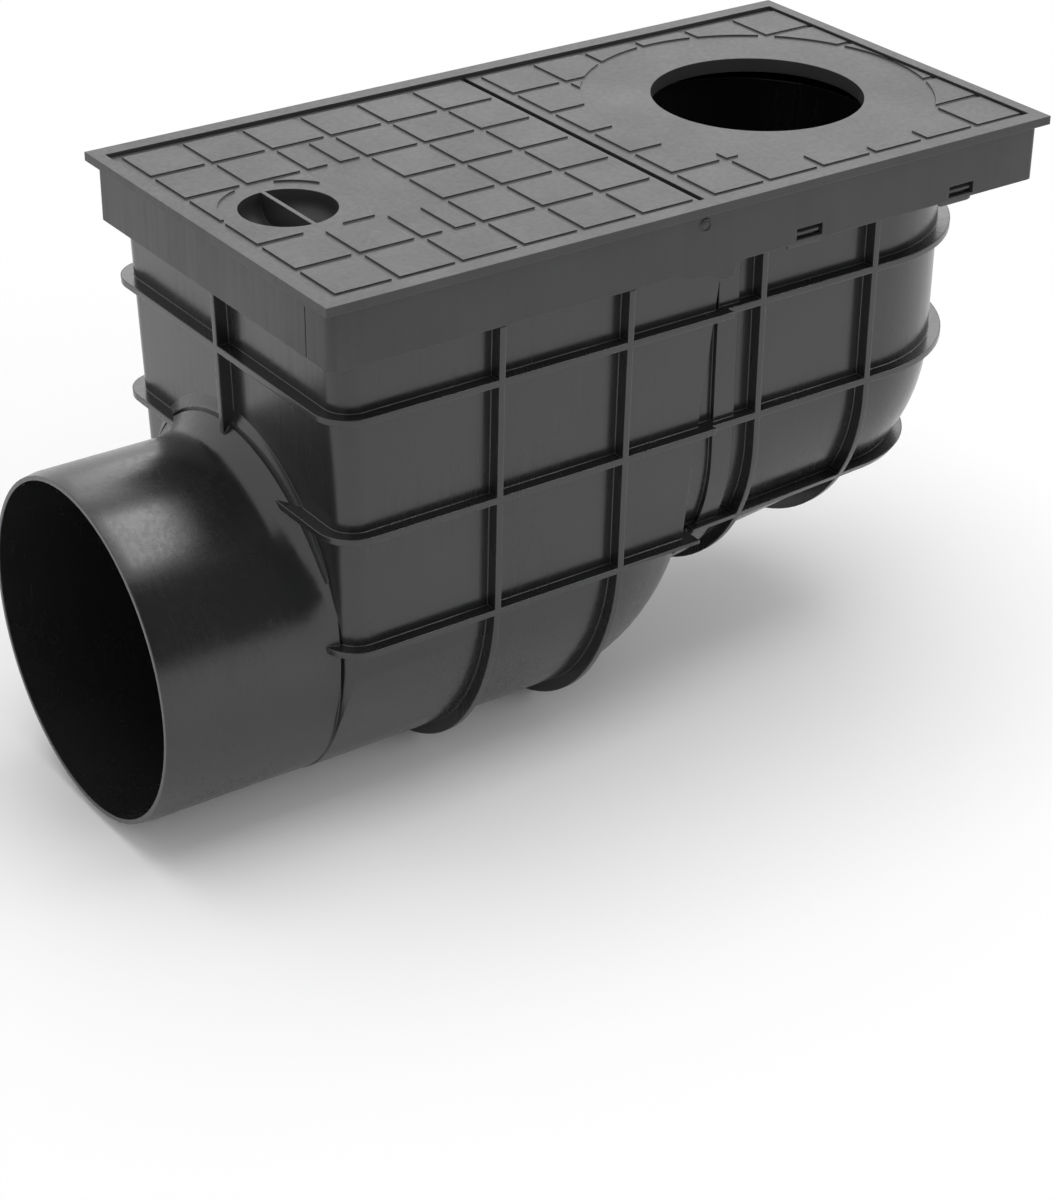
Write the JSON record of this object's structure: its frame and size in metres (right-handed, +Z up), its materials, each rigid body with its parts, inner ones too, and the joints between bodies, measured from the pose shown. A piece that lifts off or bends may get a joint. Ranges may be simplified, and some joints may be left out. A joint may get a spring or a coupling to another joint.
{
  "type": "rainwater gully",
  "caption": "Rainwater gully: ribbed plastic body with a round outlet spigot, tiled top lids, odour flap and leaf basket.",
  "frame": {"origin": "on the floor under the middle of the bounding box", "axes": "-X along the outlet spigot, +Z up, the chamber under the downpipe at the +X end"},
  "size_m": [0.4576, 0.204, 0.266],
  "materials": {
    "body_plastic": "satin black moulded plastic",
    "lid_plastic": "satin anthracite moulded plastic, fine texture",
    "seal_rubber": "plain black rubber",
    "pin_steel": "stainless steel rod"
  },
  "bodies": {
    "gully": {"gully_body": "body_plastic", "top_frame": "lid_plastic", "cross_bar": "lid_plastic", "inspection_lid": "lid_plastic", "downpipe_lid": "lid_plastic", "trap_frame": "body_plastic", "flap_seal": "seal_rubber", "flap_pin": "pin_steel", "leaf_basket": "body_plastic"},
    "flap": {"odour_flap": "body_plastic"},
    "bail": {"basket_handle": "body_plastic"}
  },
  "joints": [
    {"name": "flap_hinge", "type": "hinge", "parent": "gully", "child": "flap", "pos_m": [0.04176, 0, 0.22438], "axis": [0, 1, 0], "range_deg": [0, 60]},
    {"name": "bail_hinge", "type": "hinge", "parent": "gully", "child": "bail", "pos_m": [0.13475, 0, 0.221], "axis": [0, 1, 0], "range_deg": [-175, 175]}
  ]
}
